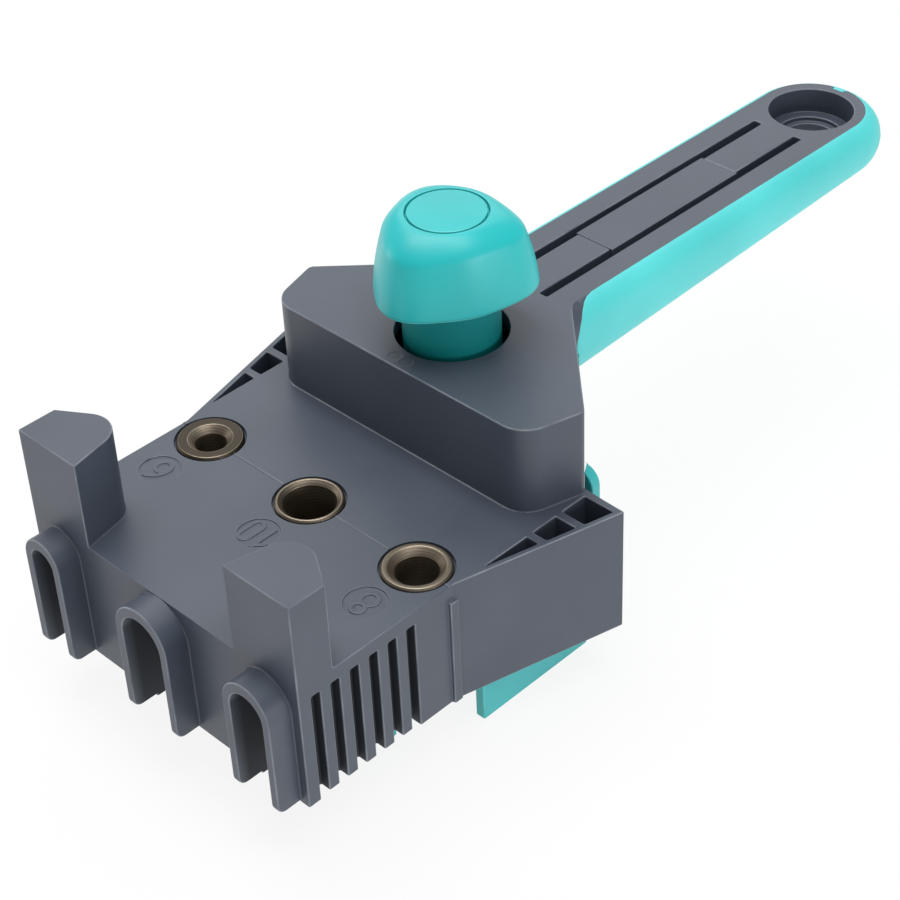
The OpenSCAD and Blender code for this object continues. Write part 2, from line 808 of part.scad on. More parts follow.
module rack_bar(front, first, last) {
    thick = rack_back - rack_root;
    back = last * rack_pitch + rack_pitch / 2;
    translate([0, knob_y, rack_z]) linear_extrude(gear_h)
        polygon(concat([[rack_root, front - knob_y]],
                       [for (k = [first:last]) for (p = rack_tooth(k)) p],
                       [[rack_root, back], [rack_back, back - thick],
                        [rack_back, front - knob_y]]));
}

stem_mid = (stem_in + stem_out) / 2;
front_stem_l = 8;
rear_stem_l = 12;
front_stem_in = 1.5;
rear_stem_in = 13.5;
front_stem = [-jaw_face - front_stem_in - front_stem_l, -jaw_face - front_stem_in];
rear_stem = [jaw_face + rear_stem_in, jaw_face + rear_stem_in + rear_stem_l];
jaw_rib_x = stem_out + rack_screw_head / 2;
screw_share = 0.25;
function screw_rows(range) =
    [for (s = [screw_share, 1 - screw_share]) range[0] + (range[1] - range[0]) * s];

module rack_screw_holes(rows, from, to) {
    for (y = rows) translate([stem_mid, y, from])
        cylinder(d = rack_screw_d, h = to - from);
}
module rack_screw_set(rows) {
    for (y = rows) translate([stem_mid, y, deck_bottom + rack_screw_head / 2])
        screw(rack_screw_d, rack_z - deck_bottom - rack_screw_head / 2 + rack_screw_depth,
              rack_screw_head, rack_screw_head / 2);
}
module screw_seats(rows) {
    rack_screw_holes(rows, deck_bottom - over, rack_z + rack_screw_depth);
    for (y = rows) translate([stem_mid, y, deck_bottom - over])
        cylinder(d = rack_screw_head, h = over + rack_screw_head / 2);
}

rear_first = -4;
rear_last = 1;
rear_front = cross_y + cross_t + over;
module rear_rack() {
    color("#d8d8d2") difference() {
        rack_bar(rear_front, rear_first, rear_last);
        rack_screw_holes(screw_rows(rear_stem), rack_z - over, rack_z + rack_screw_depth);
    }
}
module front_rack() {
    color("#d8d8d2") mirror([1, 0, 0]) difference() {
        rack_bar(front_stem[0], -rear_last, -rear_first);
        rack_screw_holes(screw_rows(front_stem), rack_z - over, rack_z + rack_screw_depth);
    }
}
module rear_rack_screws() {
    color("silver") rack_screw_set(screw_rows(rear_stem));
}
module front_rack_screws() {
    color("silver") mirror([1, 0, 0]) rack_screw_set(screw_rows(front_stem));
}

// Rear jaw: a tray under the block with side plates, and ears behind the block
skirt_x = half_w - 0.2;
skirt_end = block_rear + 0.3;
ear_y = block_rear + 1.8;
ear_inset = 0.2;
ear_top = block_h + ear_rise;
ear_round = 3.4;
module rear_jaw() {
    inner = skirt_x - skirt_t;
    bottom = -jaw_drop;
    color(teal) difference() {
        union() {
            span([-jaw_w / 2, jaw_face, bottom], [jaw_w / 2, jaw_face + jaw_wall, deck_top]);
            span([-skirt_x, jaw_face + jaw_wall, deck_bottom],
                 [skirt_x, ear_y + skirt_t, deck_top]);
            both_sides() {
                span([inner, jaw_face + pad_out, bottom], [skirt_x, skirt_end, deck_top]);
                span([jaw_rib_x, jaw_face, bottom + deck_t],
                     [jaw_rib_x + skirt_t, skirt_end, deck_top]);
                intersection() {
                    translate([0, 0, deck_bottom]) linear_extrude(ear_top - deck_bottom)
                        polygon([[inner + ear_inset, ear_y], [skirt_x, ear_y],
                                 [skirt_x, ear_y + skirt_t],
                                 [inner - skirt_t / 2, ear_y + skirt_t]]);
                    along_y(ear_y - over, ear_y + skirt_t + over)
                        polygon(concat([[inner - skirt_t, deck_bottom],
                                        [skirt_x, deck_bottom]],
                                       arc([skirt_x - ear_round, ear_top - ear_round],
                                           ear_round, 0, 90, 8),
                                       [[inner - skirt_t, ear_top]]));
                }
            }
            span([stem_in, rear_stem[0], deck_top - over], [stem_out, rear_stem[1], rack_z]);
        }
        screw_seats(screw_rows(rear_stem));
    }
}

// Front jaw: hangs from its rack on the left and from a runner on the right
module front_jaw() {
    bottom = -jaw_drop;
    color(teal) difference() {
        union() {
            span([-jaw_w / 2, -jaw_face - jaw_wall, bottom], [jaw_w / 2, -jaw_face, deck_top]);
            span([-jaw_w / 2, front_stem[0], deck_bottom],
                 [jaw_w / 2, -jaw_face, deck_top]);
            both_sides() {
                span([stem_in, front_stem[0], deck_top - over],
                     [stem_out, front_stem[1], rack_z]);
                span([jaw_rib_x, front_stem[0], bottom + deck_t],
                     [jaw_rib_x + skirt_t, -jaw_face, deck_top]);
            }
            span([rack_root + slide_gap, front_stem[0], rack_z],
                 [rack_back, front_stem[1], rack_top]);
        }
        mirror([1, 0, 0]) screw_seats(screw_rows(front_stem));
    }
}

jig_body();
bush_6mm();
bush_10mm();
bush_8mm();
grip_sleeve();
handle_panel();
gear_carrier();
mechanism_cover();
cover_screws();
clamp_knob();
knob_cap();
knob_screw();
drive_pinion();
thrust_washer();
friction_washer();
front_jaw();
front_rack();
front_rack_screws();
rear_jaw();
rear_rack();
rear_rack_screws();
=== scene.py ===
# %% [markdown]
# # A self-centring doweling jig, dressed for a studio photograph
# The jig sits on the edge of a board. Two jaws under its block close evenly from both sides
# when the round knob is turned, and a drill passes through one of three steel bushes.
# The measured shapes come from a CAD model that is loaded first and stays fixed. This script
# adds what the CAD leaves out: rounded edges, turned metal, moulded plastic, light and a camera.
# We start with the frame and keep its box, because the dressed model has to fit in it.

# %% Load the fixed frame
import json
import math

import bmesh
import bpy
from mathutils import Matrix, Vector
from mathutils.geometry import delaunay_2d_cdt


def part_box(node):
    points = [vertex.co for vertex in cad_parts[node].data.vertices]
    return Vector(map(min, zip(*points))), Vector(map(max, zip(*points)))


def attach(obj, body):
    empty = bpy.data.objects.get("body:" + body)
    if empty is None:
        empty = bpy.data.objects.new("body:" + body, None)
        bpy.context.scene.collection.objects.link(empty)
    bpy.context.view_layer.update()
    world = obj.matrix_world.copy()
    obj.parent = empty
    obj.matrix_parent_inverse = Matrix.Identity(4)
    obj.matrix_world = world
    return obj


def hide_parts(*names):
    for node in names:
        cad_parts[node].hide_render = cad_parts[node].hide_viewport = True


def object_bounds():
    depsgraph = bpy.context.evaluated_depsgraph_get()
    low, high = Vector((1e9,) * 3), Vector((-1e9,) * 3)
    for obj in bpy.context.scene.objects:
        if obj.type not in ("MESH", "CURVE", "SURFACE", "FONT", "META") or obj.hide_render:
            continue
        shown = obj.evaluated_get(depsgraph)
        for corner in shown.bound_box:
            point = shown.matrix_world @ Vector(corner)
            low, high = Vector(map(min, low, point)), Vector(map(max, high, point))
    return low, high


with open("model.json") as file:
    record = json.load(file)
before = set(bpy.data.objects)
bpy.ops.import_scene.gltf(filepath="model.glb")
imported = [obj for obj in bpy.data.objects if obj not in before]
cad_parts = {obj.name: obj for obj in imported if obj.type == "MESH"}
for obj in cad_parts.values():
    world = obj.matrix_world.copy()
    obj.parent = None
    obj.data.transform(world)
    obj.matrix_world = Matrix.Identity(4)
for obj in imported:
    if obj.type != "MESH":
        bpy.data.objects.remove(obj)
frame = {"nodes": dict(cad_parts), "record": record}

nodes = frame["nodes"]
cad_box = [list(corner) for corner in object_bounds()]
print("frame:", len(nodes), "nodes, box", [[round(v, 4) for v in corner] for corner in cad_box])

# %% [markdown]
# Blender works in metres and a jig is drawn in millimetres, so lengths are written as
# `13 * MM`. A few places on the jig are needed again and again: the top of the block, the three
# bushes, which stand on the X axis, and the axis of the knob. They are measured on the frame
# where that is possible, so that they can't drift away from it. `HEAD_HIGH` is the height of
# the knob's head, which no box in the frame gives, and `lead` is the width of the cone that
# leads a drill into a bush.

# %% Millimetres and the main places
MM = 0.001
BORES = {"bush_6mm": 6, "bush_10mm": 10, "bush_8mm": 8}
HEAD_HIGH = 14.7
LEAD_SHARE, LEAD_MOST = 0.275, 1.3


def box_mm(name):
    """The two corners of a node's box in millimetres."""
    low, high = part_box(name)
    return [v / MM for v in low], [v / MM for v in high]


body_low, body_high = box_mm("jig_body")
knob_low, knob_high = box_mm("clamp_knob")
pinion_low, pinion_high = box_mm("drive_pinion")
knob_y = (pinion_low[1] + pinion_high[1]) / 2
top_z = knob_high[2]
rim_z = top_z - HEAD_HIGH
bush_places = {}
for bush_name, bore in BORES.items():
    low, high = box_mm(bush_name)
    outside = high[0] - low[0]
    bush_places[bush_name] = {"x": (low[0] + high[0]) / 2, "od": outside, "bore": bore,
                              "lead": min(LEAD_SHARE * (outside - bore), LEAD_MOST),
                              "top": high[2]}
print("knob axis y", round(knob_y, 2), "knob z", round(knob_low[2], 2), round(top_z, 2))
print("bushes", {name: round(place["x"], 2) for name, place in bush_places.items()})

# %% [markdown]
# ## A small language for materials
# Node trees are easier to read as sums than as boxes and wires. `Wire` stands for one output
# of a node, and Python's own signs add Math nodes: `1 - mask * 0.4` is two nodes in a tree.
# `Finish` is a material. Its `node` adds any other node, `maths` adds a Math node that has no
# sign of its own, and `feed` and `set` fill sockets with a wire or with a plain value.

# %% Wire and Finish
class Wire:
    """One output socket that can be added, subtracted, multiplied and divided."""

    def __init__(self, finish, socket):
        self.finish, self.socket = finish, socket

    def __add__(self, other):
        return self.finish.maths("ADD", self, other)

    def __radd__(self, other):
        return self.finish.maths("ADD", other, self)

    def __sub__(self, other):
        return self.finish.maths("SUBTRACT", self, other)

    def __rsub__(self, other):
        return self.finish.maths("SUBTRACT", other, self)

    def __mul__(self, other):
        return self.finish.maths("MULTIPLY", self, other)

    def __rmul__(self, other):
        return self.finish.maths("MULTIPLY", other, self)

    def __truediv__(self, other):
        return self.finish.maths("DIVIDE", self, other)

    def __pow__(self, other):
        return self.finish.maths("POWER", self, other)


class Finish:
    """A material, with short ways to add nodes to it."""

    def __init__(self, name):
        self.material = bpy.data.materials.new(name)
        self.material.use_nodes = True
        self.tree = self.material.node_tree
        self.shader = self.tree.nodes["Principled BSDF"]

    def node(self, kind, settings, values, output=0):
        """Add a node, feed its inputs by name or by number, and return one output."""
        made = self.tree.nodes.new(kind)
        for key, value in settings.items():
            setattr(made, key, value)
        pairs = values.items() if isinstance(values, dict) else enumerate(values)
        for key, value in pairs:
            self.feed(made.inputs[key], value)
        return Wire(self, made.outputs[output])

    def maths(self, operation, *values):
        return self.node("ShaderNodeMath", {"operation": operation}, values)

    def feed(self, socket, value):
        if isinstance(value, Wire):
            self.tree.links.new(value.socket, socket)
        else:
            socket.default_value = value

    def set(self, **sockets):
        """Feed inputs of the shader, with an underscore for the space in a socket's name."""
        for key, value in sockets.items():
            self.feed(self.shader.inputs[key.replace("_", " ")], value)


print("a finish is built with", [name for name in vars(Finish) if not name.startswith("_")])

# %% [markdown]
# ## Patterns that many finishes share
# Three patterns do most of the work. `noise` reads the object's own coordinates, so it stays
# on the surface when a piece moves; its scale counts the spots in a metre. `blend` mixes two
# colours by a mask. A third reads an attribute that we shall store on the rounded edges and
# makes them lighter: partly wear, as moulded plastic is polished there by hands, and partly a
# painted highlight along each edge. `spread` stretches a narrow range of a mask to the full
# one, and `relief` makes a bump of a height.

# %% Shared patterns
CLOUDS, SPECKS, RUBS, STAINS, DRIFTS = 55, 700, 160, 140, 500
MIX_FACTOR, MIX_FIRST, MIX_SECOND, MIX_COLOUR = 0, 6, 7, 2


def own_place(finish):
    return finish.node("ShaderNodeTexCoord", {}, {}, output="Object")


def noise(finish, scale, detail=2):
    return finish.node("ShaderNodeTexNoise", {}, {"Vector": own_place(finish), "Scale": scale,
                                                  "Detail": detail, "Roughness": 0.5})


def spread(finish, mask, low, high):
    """0 where the mask is below `low`, 1 where it is above `high`."""
    wire = finish.node("ShaderNodeValToRGB", {}, {"Fac": mask})
    stops = wire.socket.node.color_ramp.elements
    for stop, place, shade in zip(stops, (low, high), (0, 1)):
        stop.position, stop.color = place, (shade, shade, shade, 1)
    return wire


def blend(finish, mask, first, second):
    """The Mix node has sockets for several kinds of data; colours use the numbers above."""
    return finish.node("ShaderNodeMix", {"data_type": "RGBA"},
                       {MIX_FACTOR: mask, MIX_FIRST: first, MIX_SECOND: second},
                       output=MIX_COLOUR)


def worn(finish):
    return finish.node("ShaderNodeAttribute", {"attribute_name": "worn"}, {}, output="Fac")


def relief(finish, height, strength, depth, under=None):
    """A bump, which can lie on another one."""
    feeds = {"Strength": strength, "Distance": depth, "Height": height}
    if under is not None:
        feeds["Normal"] = under
    return finish.node("ShaderNodeBump", {}, feeds)


def tone(colour, gain=1):
    """A colour for a socket, made darker or brighter by `gain`."""
    return (*[min(1, part * gain) for part in colour], 1)


print("clouds measure about", round(1 / CLOUDS / MM), "mm, specks", round(1 / SPECKS / MM, 1))

# %% [markdown]
# ## A recipe for moulded plastic
# Close up, a moulding is not one colour: the flow of the plastic leaves it a little lighter and
# darker in soft clouds, the grain of the tool breaks the shine, and the edges are rubbed
# smooth and lighter, where the lighter colour is also a painted highlight. A plain roughness
# value would give a flat toy look, so the roughness varies too. The numbers in the sums are
# shares: how much of the colour or of the shine a pattern may change. Pins that push a part
# out of its mould leave round dents. They are too shallow for the mesh, so a bump draws them;
# its ramp only reads values from 0 to 1 and gets the distance in centimetres. `shade` is a
# mask of painted shade for places that the photograph shows darker, and `dull` takes the
# shine off them.

# %% Moulded plastic
CM = 10 * MM
DENT_FLAT, DENT_REACH, DENT_DEEP = 1.1, 1.5, 0.12


def dent(finish, spot, under):
    """A flat dent at this spot that slopes up to the surface round it."""
    away = finish.node("ShaderNodeVectorMath", {"operation": "DISTANCE"},
                       [own_place(finish), [v * MM for v in spot]], output="Value")
    slope = spread(finish, away / CM, DENT_FLAT / 10, DENT_REACH / 10)
    return relief(finish, slope, 0.5, DENT_DEEP * MM, under)


def moulded(name, dark, light, edge, rough=0.42, grain=0.12, grain_scale=2600, dents=(),
            shade=None, dull=0.0):
    """Clouds run from dark to light; rubbed places, with a painted highlight on them, have the
    colour `edge`.
    """
    finish = Finish(name)
    under = None
    for spot in dents:
        under = dent(finish, spot, under)
    clouds = noise(finish, CLOUDS, detail=3)
    fine = noise(finish, grain_scale, detail=1)
    specks = noise(finish, SPECKS)
    rub = worn(finish) * (0.35 + 0.65 * spread(finish, noise(finish, RUBS), 0.3, 0.65))
    base = blend(finish, spread(finish, clouds, 0.3, 0.7), tone(dark), tone(light))
    roughness = rough - 0.05 + 0.07 * clouds + 0.05 * specks - 0.12 * rub
    # painted shade: the mask darkens the colour towards a quarter of `dark`
    if shade:
        painted_shade = shade(finish)
        base = blend(finish, painted_shade, base, tone(dark, 0.25))
        roughness = roughness + dull * painted_shade
    # rubbed edges get the colour `edge`: wear and a painted highlight
    finish.set(Base_Color=blend(finish, rub * 0.85, base, tone(edge)), Roughness=roughness,
               Normal=relief(finish, fine + 0.5 * specks, grain, 0.03 * MM, under))
    return finish.material


print("a dent is", 2 * DENT_REACH, "mm wide and", DENT_DEEP, "mm deep")

# %% [markdown]
# ## Places that stay dark
# Little light reaches the slots of the comb and the insides of the dowel channels, and the
# photograph shows them nearly black, so they get painted shade: the mask darkens their colour.
# The mask is built from distances in millimetres. `below` is 1 up to a limit and fades to 0
# beyond it, and `between` joins two of them. A channel has a round top, so its mask follows the
# distance from the middle of that arch.

# %% Channels and comb
CHANNELS = ((-27.5, 3.1), (0, 5.1), (27.5, 4.1))
CHANNEL_TOP = 24.6
COMB_X, COMB_Y, COMB_TOP = (31.9, 35.05), (-32.65, -8.45), 24.05


def axes_mm(finish):
    place = own_place(finish)
    return [finish.node("ShaderNodeSeparateXYZ", {}, [place], output=axis) / MM
            for axis in "XYZ"]


def below(finish, value, limit, soft=0.1):
    return finish.node("ShaderNodeMapRange", {"clamp": True},
                       {"Value": value, "From Min": limit, "From Max": limit + soft,
                        "To Min": 1, "To Max": 0})


def between(finish, value, low, high):
    return below(finish, value, high) * (1 - below(finish, value, low))


def painted_shade_in_hollows(finish):
    x, y, z = axes_mm(finish)
    channels = 0
    for centre, half in CHANNELS:
        across, above = x - centre, z - (CHANNEL_TOP - half)
        rise = finish.maths("MAXIMUM", above, 0)
        away = (across * across + rise * rise) ** 0.5
        channels = below(finish, away, half + 0.05) + channels
    inside = 1 - below(finish, y, body_low[1] + 0.3, soft=2.2)
    comb = (between(finish, finish.maths("ABSOLUTE", x), *COMB_X)
            * between(finish, y, *COMB_Y) * below(finish, z, COMB_TOP))
    return channels * inside * 0.85 + comb * 0.75


print("channels stand at x", [centre for centre, half in CHANNELS])

# %% [markdown]
# ## Three greys
# The block is moulded in a blue-grey plastic with a fine satin grain. The carrier of the gears
# and the cover under them are other plastics that only show when the jig is turned over.

# %% Grey plastics
ejector_dents = [(-1.45, 24.4, body_high[2]), (1.4, 24.5, body_high[2])]
body_grey = moulded("moulded_blue_grey", (0.054, 0.067, 0.092), (0.066, 0.080, 0.107),
                    (0.32, 0.35, 0.39), dents=ejector_dents, shade=painted_shade_in_hollows, dull=0.35)
carrier_grey = moulded("moulded_mid_grey", (0.20, 0.215, 0.235), (0.23, 0.245, 0.265),
                       (0.33, 0.35, 0.37))
cover_grey = moulded("moulded_dark_grey", (0.060, 0.066, 0.078), (0.072, 0.079, 0.092),
                     (0.13, 0.14, 0.16))
print("plastics:", body_grey.name, carrier_grey.name, cover_grey.name)

# %% [markdown]
# ## Teal plastic of knob and jaws, and the soft grip
# Knob and jaws are a brighter, smoother plastic: hardly any grain, a clean shine. The stem
# under the knob gets painted shade, a darker teal where little light reaches under the head, so
# that the round rim stands out against it. The grip is a softer compound moulded over the
# handle, so it is a little rougher and its grain is finer and its teal a little paler. The
# white gears and the rubber washer take the same recipe.

# %% Teal, white and black
def stem_painted_shade(finish):
    """Painted shade on the stem, up to just above the edge of the rim."""
    return 0.55 * below(finish, axes_mm(finish)[2], rim_z + 0.1, soft=0.8)


teal_edge = (0.16, 0.74, 0.74)
knob_teal = moulded("smooth_teal", (0.010, 0.430, 0.440), (0.016, 0.500, 0.510), teal_edge,
                    rough=0.36, grain=0.05, shade=stem_painted_shade)
jaw_teal = moulded("jaw_teal_plastic", (0.030, 0.400, 0.410), (0.042, 0.460, 0.470), teal_edge,
                   rough=0.40, grain=0.07)
grip_teal = moulded("soft_grip_teal", (0.075, 0.560, 0.565), (0.090, 0.630, 0.635),
                    (0.24, 0.80, 0.80), rough=0.46, grain=0.10, grain_scale=3600)
gear_white = moulded("natural_acetal", (0.70, 0.69, 0.64), (0.76, 0.75, 0.71),
                     (0.84, 0.83, 0.80), rough=0.38, grain=0.05)
washer_rubber = moulded("black_rubber", (0.018, 0.018, 0.019), (0.026, 0.026, 0.027),
                        (0.05, 0.05, 0.05), rough=0.70, grain=0.25)
print("teal:", knob_teal.name, jaw_teal.name, grip_teal.name)

# %% [markdown]
# ## Turned metal
# A bush is turned on a lathe and hardened, which leaves fine rings round its axis and a warm
# brown tint. The rings follow the distance from that axis, so the pattern is centred on each
# bush with a Mapping node and the length of the flat vector gives the radius. Rings that are
# too regular look printed; a little noise on the radius breaks them. The cone and the bore are
# lighter, and the flat rim outside them is darker, by a gain for each bush.

# %% Turned steel
RIM_SOFT = 0.04
RIM_GAIN = {"bush_6mm": 0.2, "bush_10mm": 0.55, "bush_8mm": 0.55}


def turned_metal(name, centre, dark, light, rough, rings=5200, rim=None, rim_gain=1):
    """Stains run from dark to light; outside the radius `rim` the metal is darker by a gain."""
    finish = Finish(name)
    shift = (-centre[0] * MM, -centre[1] * MM, 0)
    centred = finish.node("ShaderNodeMapping", {},
                          {"Vector": own_place(finish), "Location": shift})
    flat = finish.node("ShaderNodeVectorMath", {"operation": "MULTIPLY"},
                       [centred, (1, 1, 0)])
    radius = finish.node("ShaderNodeVectorMath", {"operation": "LENGTH"}, [flat],
                         output="Value")
    height = finish.node("ShaderNodeSeparateXYZ", {}, [centred], output="Z")
    phase = (radius + height) * rings + noise(finish, DRIFTS) * 1.6
    groove = finish.maths("SINE", phase) * 0.5 + 0.5
    stain = spread(finish, noise(finish, STAINS, detail=3), 0.3, 0.75)
    rub = worn(finish)
    base = blend(finish, stain * 0.6 + groove * 0.4, tone(dark), tone(light))
    if rim:
        flat_rim = spread(finish, radius / CM, (rim - RIM_SOFT) / 10, (rim + RIM_SOFT) / 10)
        base = blend(finish, flat_rim, base, tone(light, rim_gain))
    # rubbed edges are lighter: wear and a painted highlight
    finish.set(Base_Color=blend(finish, rub * 0.6, base, tone(light, 1.5)), Metallic=1.0,
               Roughness=rough + 0.07 * stain + 0.06 * groove - 0.08 * rub,
               Normal=relief(finish, groove, 0.45, 0.02 * MM))
    return finish.material


bush_steels = {}
for bush_name, place in bush_places.items():
    bush_steels[bush_name] = turned_metal(
        "turned_" + bush_name, (place["x"], 0), (0.150, 0.122, 0.092), (0.300, 0.252, 0.194),
        rough=0.42, rings=8400, rim=place["bore"] / 2 + place["lead"], rim_gain=RIM_GAIN[bush_name])
screw_steel = turned_metal("zinc_plate", (0, knob_y), (0.46, 0.47, 0.48), (0.60, 0.61, 0.61),
                           rough=0.33)
print("metals:", [steel.name for steel in bush_steels.values()], screw_steel.name)

# %% [markdown]
# ## Putting a piece into the scene
# Every new piece is finished in the same way: its mesh is stored, it takes one material, it
# rides on a body of the frame and it stands for the CAD node that it replaces. Smooth
# shading is on everywhere and edges steeper than forty degrees stay sharp.

# %% Finish a piece
BODY_OF = {node: body for body, members in frame["record"]["behaviour"]["bodies"].items()
           for node in members}
SHARP = math.radians(40)


def mark_sharp(bm):
    for edge in bm.edges:
        if len(edge.link_faces) == 2:
            edge.smooth = edge.calc_face_angle(0) < SHARP


def place_piece(bm, name, node, material):
    """Make the mesh a piece of the scene that stands for this node."""
    mesh = bpy.data.meshes.new(name)
    for face in bm.faces:
        face.smooth, face.material_index = True, 0
    bm.to_mesh(mesh)
    bm.free()
    mesh.materials.append(material)
    piece = bpy.data.objects.new(name, mesh)
    bpy.context.scene.collection.objects.link(piece)
    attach(piece, BODY_OF[node])
    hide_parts(node)
    return piece


print("bodies:", sorted(set(BODY_OF.values())))

# %% [markdown]
# ## Rounded edges
# No moulded part has a knife edge, and the thin bright line along a rounded edge is what makes
# plastic look real. One width for every edge would tear thin ribs, so each edge gets a weight:
# how much room the faces beside it leave. `room_beside` looks across a face from three points
# of the edge to the nearest edge on the other side. The limits in its tests only keep rounding
# errors out.

# %% Room beside an edge
SAME_POINT, PARALLEL, OVERSHOOT, NO_REACH = 1e-9, 1e-12, 1e-6, 1e-7
STEEP = math.radians(35)
ROOM_SHARE, LEAST_WEIGHT = 2.4, 0.12


def room_beside(face, start, end):
    """The way across the face, in metres, from this edge to the outline opposite."""
    along = (end - start).normalized()
    inward = face.normal.cross(along)
    loop = [corner.vert.co for corner in face.loops]
    sides = list(zip(loop, loop[1:] + loop[:1]))
    if not any((p - start).length < SAME_POINT and (q - end).length < SAME_POINT
               for p, q in sides):
        inward = -inward
    nearest = 1.0
    for share in (0.2, 0.5, 0.8):
        origin = start.lerp(end, share)
        for p, q in sides:
            step = q - p
            across = step.dot(along)
            if abs(across) < PARALLEL:
                continue
            part = (origin - p).dot(along) / across
            if -OVERSHOOT <= part <= 1 + OVERSHOOT:
                reach = (p + step * part - origin).dot(inward)
                if reach > NO_REACH:
                    nearest = min(nearest, reach)
    return nearest


def weigh_edges(bm, width, calm):
    """Give each steep edge its share of the width, and none where `calm` says so."""
    layer = bm.edges.layers.float.new("bevel_weight_edge")
    count = 0
    for edge in bm.edges:
        if len(edge.link_faces) != 2 or edge.calc_face_angle(0) < STEEP:
            continue
        a, b = edge.verts[0].co, edge.verts[1].co
        if calm is not None and calm((a + b) / 2 / MM):
            continue
        room = min(room_beside(face, a, b) for face in edge.link_faces)
        weight = min(1.0, room / (ROOM_SHARE * width))
        if weight > LEAST_WEIGHT:
            edge[layer] = weight
            count += 1
    return count


print("edges get at most 1 /", ROOM_SHARE, "of the room beside them")

# %% [markdown]
# After the bevel, a face with a long and ragged outline can be cut into triangles that fold
# over each other, which renders as a black patch. `folded` finds such a face by adding up the
# triangles, where a flipped one counts three times, and `refill` lays it flat and fills it
# again with a constrained triangulation.

# %% Repair of ragged faces
INSIDE_ONLY, SAME_PLACE = 1, 1e-8
FLIPPED_COUNTS, AREA_SLACK, AREA_ERROR = 3, 1.004, 1e-10


def refill(bm, face):
    """Put triangles that don't overlap in the place of a face."""
    normal = face.normal.copy()
    across = normal.orthogonal().normalized()
    up = normal.cross(across)
    corners = list(face.verts)
    origin = corners[0].co.copy()
    flat = [Vector(((v.co - origin).dot(across), (v.co - origin).dot(up))) for v in corners]
    places, _, triangles, sources = delaunay_2d_cdt(flat, [], [list(range(len(flat)))],
                                                    INSIDE_ONLY, SAME_PLACE)[:4]
    found = [corners[source[0]] if source else
             bm.verts.new(origin + across * place.x + up * place.y)
             for place, source in zip(places, sources)]
    filled = False
    for triangle in triangles:
        verts = [found[i] for i in triangle]
        if len(set(verts)) == 3 and bm.faces.get(verts) is None:
            bm.faces.new(verts, face)
            filled = True
    if filled:
        bm.faces.remove(face)


def folded(face):
    """True where ear clipping covers another area than the face has."""
    probe = bmesh.new()
    copy = probe.faces.new([probe.verts.new(v.co) for v in face.verts])
    copy.normal_update()
    area, normal = copy.calc_area(), copy.normal.copy()
    pieces = bmesh.ops.triangulate(probe, faces=[copy])["faces"]
    for piece in pieces:
        piece.normal_update()
    total = sum(piece.calc_area() * (1 if piece.normal.dot(normal) > 0 else FLIPPED_COUNTS)
                for piece in pieces)
    probe.free()
    return total > area * AREA_SLACK + AREA_ERROR


print("a face is refilled when its triangles cover over", AREA_SLACK, "times its area")

# %% [markdown]
# A rounded copy is made in steps. The CAD mesh is a soup of loose triangles, so they are merged
# and flat faces are joined again. The Bevel modifier rounds the weighted edges. The vertices in
# the middle of each outer rounding get the value for a lighter edge, which is wear and a painted
# highlight, and a Weighted Normal modifier keeps the flat faces perfectly flat.

# %% Rounded copy of a CAD node
MERGE, FLAT_ENOUGH = 1e-6, math.radians(1)
MANY_CORNERS, RUBBED_AND_LIT = 8, 0.6


def joined_copy(node):
    """The node's mesh with doubled points merged and flat faces joined."""
    bm = bmesh.new()
    bm.from_mesh(nodes[node].data)
    bmesh.ops.remove_doubles(bm, verts=bm.verts, dist=MERGE)
    bmesh.ops.dissolve_limit(bm, angle_limit=FLAT_ENOUGH, use_dissolve_boundaries=False,
                             verts=bm.verts, edges=bm.edges)
    return bm


def bevelled(bm, width, segments):
    """Free this mesh and return a new one with the weighted edges rounded."""
    draft = bpy.data.meshes.new("draft")
    bm.to_mesh(draft)
    bm.free()
    holder = bpy.data.objects.new("draft", draft)
    bpy.context.scene.collection.objects.link(holder)
    bevel = holder.modifiers.new("round", "BEVEL")
    bevel.limit_method, bevel.width, bevel.segments = "WEIGHT", width, segments
    bevel.profile, bevel.use_clamp_overlap = 0.5, False
    bevel.miter_outer, bevel.face_strength_mode = "MITER_ARC", "FSTR_ALL"
    depsgraph = bpy.context.evaluated_depsgraph_get()
    result = bpy.data.meshes.new_from_object(holder.evaluated_get(depsgraph))
    bpy.data.objects.remove(holder)
    rounded = bmesh.new()
    rounded.from_mesh(result)
    bpy.data.meshes.remove(result)
    return rounded


def mark_worn_and_lit(bm, pale):
    """Store how much each vertex is rubbed and lit by a painted highlight, and return how many
    are.
    """
    strength = bm.faces.layers.int.get("__mod_weightednormals_faceweight")
    worn_and_lit_layer = bm.verts.layers.float.new("worn")
    count = 0
    for vert in bm.verts:
        faces = vert.link_faces
        inner = bool(strength and faces) and all(face[strength] <= 0 for face in faces)
        rises = sum(edge.calc_face_angle_signed(0) for edge in vert.link_edges
                    if len(edge.link_faces) == 2)
        if inner and rises > 0:
            vert[worn_and_lit_layer] = RUBBED_AND_LIT
        elif pale:
            vert[worn_and_lit_layer] = pale(vert.co / MM, inner)
        count += vert[worn_and_lit_layer] > 0
    return count


